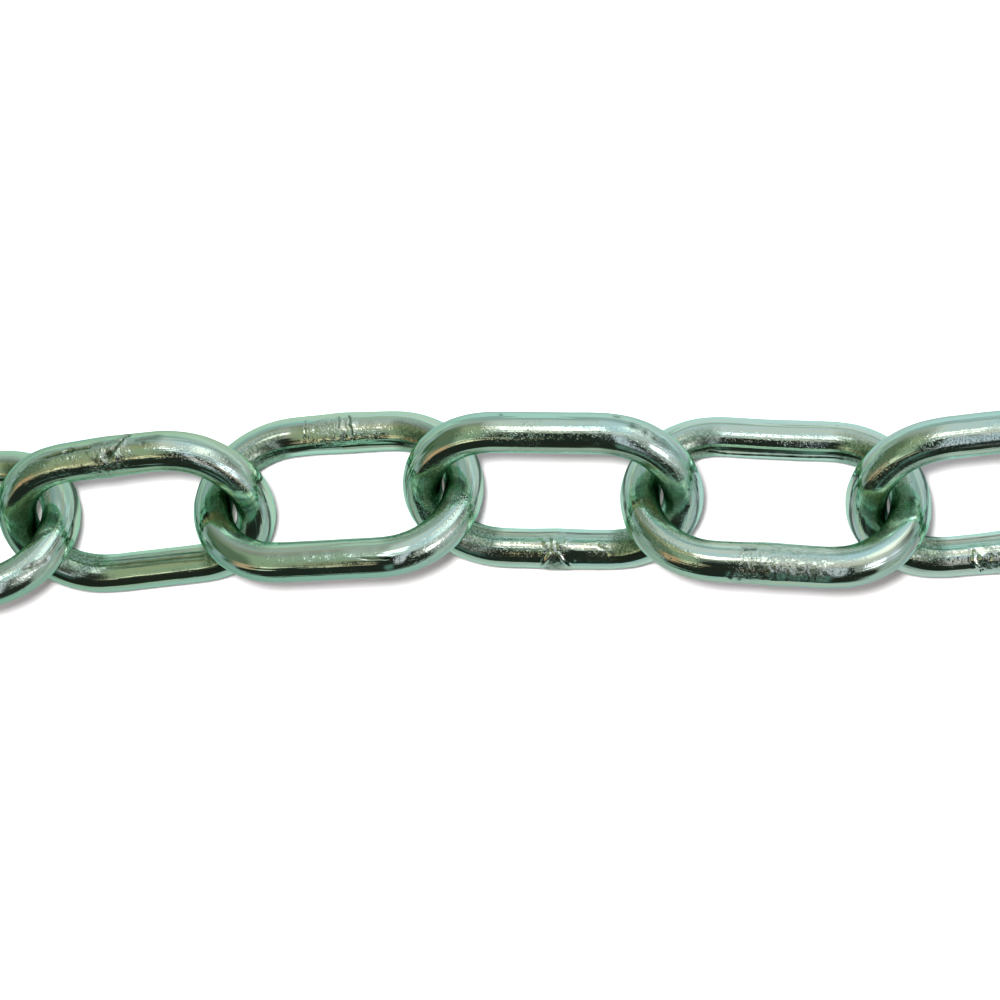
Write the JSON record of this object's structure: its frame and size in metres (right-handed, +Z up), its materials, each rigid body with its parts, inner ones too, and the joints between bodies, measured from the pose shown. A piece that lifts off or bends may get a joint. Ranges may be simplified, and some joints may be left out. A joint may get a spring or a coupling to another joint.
{
  "type": "straight length of welded steel chain",
  "caption": "Metre length of welded straight-link steel chain, bright zinc plated, lying taut on a floor with its oval links leaning alternately to each side; each link swings on the next.",
  "frame": {"origin": "on the floor, under the middle of the chain's outline in plan", "axes": "+X along the chain, +Y across it on the floor, +Z up from the floor it lies on"},
  "size_m": [0.9914, 0.0294, 0.0203],
  "materials": {
    "zinc_plate": "bright zinc plating on drawn wire, with a roughened butt weld on each link"
  },
  "bodies": {
    "link_01": {"link_01": "zinc_plate"},
    "link_02": {"link_02": "zinc_plate"},
    "link_03": {"link_03": "zinc_plate"},
    "link_04": {"link_04": "zinc_plate"},
    "link_05": {"link_05": "zinc_plate"},
    "link_06": {"link_06": "zinc_plate"},
    "link_07": {"link_07": "zinc_plate"},
    "link_08": {"link_08": "zinc_plate"},
    "link_09": {"link_09": "zinc_plate"},
    "link_10": {"link_10": "zinc_plate"},
    "link_11": {"link_11": "zinc_plate"},
    "link_12": {"link_12": "zinc_plate"},
    "link_13": {"link_13": "zinc_plate"},
    "link_14": {"link_14": "zinc_plate"},
    "link_15": {"link_15": "zinc_plate"},
    "link_16": {"link_16": "zinc_plate"},
    "link_17": {"link_17": "zinc_plate"},
    "link_18": {"link_18": "zinc_plate"},
    "link_19": {"link_19": "zinc_plate"},
    "link_20": {"link_20": "zinc_plate"},
    "link_21": {"link_21": "zinc_plate"},
    "link_22": {"link_22": "zinc_plate"},
    "link_23": {"link_23": "zinc_plate"},
    "link_24": {"link_24": "zinc_plate"},
    "link_25": {"link_25": "zinc_plate"},
    "link_26": {"link_26": "zinc_plate"},
    "link_27": {"link_27": "zinc_plate"},
    "link_28": {"link_28": "zinc_plate"},
    "link_29": {"link_29": "zinc_plate"},
    "link_30": {"link_30": "zinc_plate"}
  },
  "joints": [
    {"name": "swing_16", "type": "hinge", "parent": "link_15", "child": "link_16", "pos_m": [0.0026, 0.00291, 0.01017], "axis": [-0.0273, 0.7814, -0.6235], "range_deg": [-75, 75]},
    {"name": "swing_17", "type": "hinge", "parent": "link_16", "child": "link_17", "pos_m": [0.03528, 0.00155, 0.01017], "axis": [0.0273, 0.7814, 0.6235], "range_deg": [-75, 75]},
    {"name": "swing_18", "type": "hinge", "parent": "link_17", "child": "link_18", "pos_m": [0.0679, -0.00084, 0.01017], "axis": [-0.0545, -0.7799, 0.6235], "range_deg": [-75, 75]},
    {"name": "swing_19", "type": "hinge", "parent": "link_18", "child": "link_19", "pos_m": [0.10047, 0.00251, 0.01017], "axis": [0.0681, -0.7789, -0.6235], "range_deg": [-75, 75]},
    {"name": "swing_20", "type": "hinge", "parent": "link_19", "child": "link_20", "pos_m": [0.13313, 0.00036, 0.01017], "axis": [0.0409, 0.7808, -0.6235], "range_deg": [-75, 75]},
    {"name": "swing_21", "type": "hinge", "parent": "link_20", "child": "link_21", "pos_m": [0.16583, 0.00108, 0.01017], "axis": [-0.0121, 0.7817, 0.6235], "range_deg": [-75, 75]},
    {"name": "swing_22", "type": "hinge", "parent": "link_21", "child": "link_22", "pos_m": [0.1985, 0.00254, 0.01017], "axis": [0.0331, -0.7811, 0.6235], "range_deg": [-75, 75]},
    {"name": "swing_23", "type": "hinge", "parent": "link_22", "child": "link_23", "pos_m": [0.23117, 0.00088, 0.01017], "axis": [-0.0335, -0.7811, -0.6235], "range_deg": [-75, 75]},
    {"name": "swing_24", "type": "hinge", "parent": "link_23", "child": "link_24", "pos_m": [0.26387, 0.00049, 0.01017], "axis": [0.0114, 0.7817, -0.6235], "range_deg": [-75, 75]},
    {"name": "swing_25", "type": "hinge", "parent": "link_24", "child": "link_25", "pos_m": [0.29652, 0.00241, 0.01017], "axis": [-0.0409, 0.7808, 0.6235], "range_deg": [-75, 75]},
    {"name": "swing_26", "type": "hinge", "parent": "link_25", "child": "link_26", "pos_m": [0.32922, 0.00155, 0.01017], "axis": [-0.015, -0.7817, 0.6235], "range_deg": [-75, 75]},
    {"name": "swing_27", "type": "hinge", "parent": "link_26", "child": "link_27", "pos_m": [0.36189, 0.00019, 0.01017], "axis": [-0.0312, -0.7812, -0.6235], "range_deg": [-75, 75]},
    {"name": "swing_28", "type": "hinge", "parent": "link_27", "child": "link_28", "pos_m": [0.39456, 0.00192, 0.01017], "axis": [-0.0352, 0.781, -0.6235], "range_deg": [-75, 75]},
    {"name": "swing_29", "type": "hinge", "parent": "link_28", "child": "link_29", "pos_m": [0.42726, 0.00217, 0.01017], "axis": [-0.0084, 0.7818, 0.6235], "range_deg": [-75, 75]},
    {"name": "swing_30", "type": "hinge", "parent": "link_29", "child": "link_30", "pos_m": [0.45991, 0.00027, 0.01017], "axis": [-0.0406, -0.7808, 0.6235], "range_deg": [-75, 75]},
    {"name": "swing_14", "type": "hinge", "parent": "link_15", "child": "link_14", "pos_m": [-0.03637, 0.00155, 0.01017], "axis": [0.0273, -0.7814, 0.6235], "range_deg": [-75, 75]},
    {"name": "swing_13", "type": "hinge", "parent": "link_14", "child": "link_13", "pos_m": [-0.06891, -0.00177, 0.01017], "axis": [-0.0749, 0.7782, 0.6235], "range_deg": [-75, 75]},
    {"name": "swing_12", "type": "hinge", "parent": "link_13", "child": "link_12", "pos_m": [-0.10042, -0.00203, 0.01017], "axis": [-0.0136, 0.7817, -0.6235], "range_deg": [-75, 75]},
    {"name": "swing_11", "type": "hinge", "parent": "link_12", "child": "link_11", "pos_m": [-0.1331, -0.00062, 0.01017], "axis": [-0.0296, -0.7813, -0.6235], "range_deg": [-75, 75]},
    {"name": "swing_10", "type": "hinge", "parent": "link_11", "child": "link_10", "pos_m": [-0.16576, -0.0024, 0.01017], "axis": [0.0363, -0.781, 0.6235], "range_deg": [-75, 75]},
    {"name": "swing_09", "type": "hinge", "parent": "link_10", "child": "link_09", "pos_m": [-0.19846, -0.00254, 0.01017], "axis": [-0.0061, 0.7818, 0.6235], "range_deg": [-75, 75]},
    {"name": "swing_08", "type": "hinge", "parent": "link_09", "child": "link_08", "pos_m": [-0.23112, -0.00066, 0.01017], "axis": [0.0403, 0.7808, -0.6235], "range_deg": [-75, 75]},
    {"name": "swing_07", "type": "hinge", "parent": "link_08", "child": "link_07", "pos_m": [-0.26381, -0.00174, 0.01017], "axis": [0.0199, -0.7816, -0.6235], "range_deg": [-75, 75]},
    {"name": "swing_06", "type": "hinge", "parent": "link_07", "child": "link_06", "pos_m": [-0.29649, -0.00292, 0.01017], "axis": [0.0274, -0.7814, 0.6235], "range_deg": [-75, 75]},
    {"name": "swing_05", "type": "hinge", "parent": "link_06", "child": "link_05", "pos_m": [-0.32915, -0.00108, 0.01017], "axis": [0.0376, 0.7809, 0.6235], "range_deg": [-75, 75]},
    {"name": "swing_04", "type": "hinge", "parent": "link_05", "child": "link_04", "pos_m": [-0.36185, -0.00109, 0.01017], "axis": [0.0031, 0.7818, -0.6235], "range_deg": [-75, 75]},
    {"name": "swing_03", "type": "hinge", "parent": "link_04", "child": "link_03", "pos_m": [-0.39451, -0.00292, 0.01017], "axis": [0.0396, -0.7808, -0.6235], "range_deg": [-75, 75]},
    {"name": "swing_02", "type": "hinge", "parent": "link_03", "child": "link_02", "pos_m": [-0.42719, -0.00173, 0.01017], "axis": [-0.0225, -0.7815, 0.6235], "range_deg": [-75, 75]},
    {"name": "swing_01", "type": "hinge", "parent": "link_02", "child": "link_01", "pos_m": [-0.45988, -0.00067, 0.01017], "axis": [0.025, 0.7814, 0.6235], "range_deg": [-75, 75]}
  ]
}
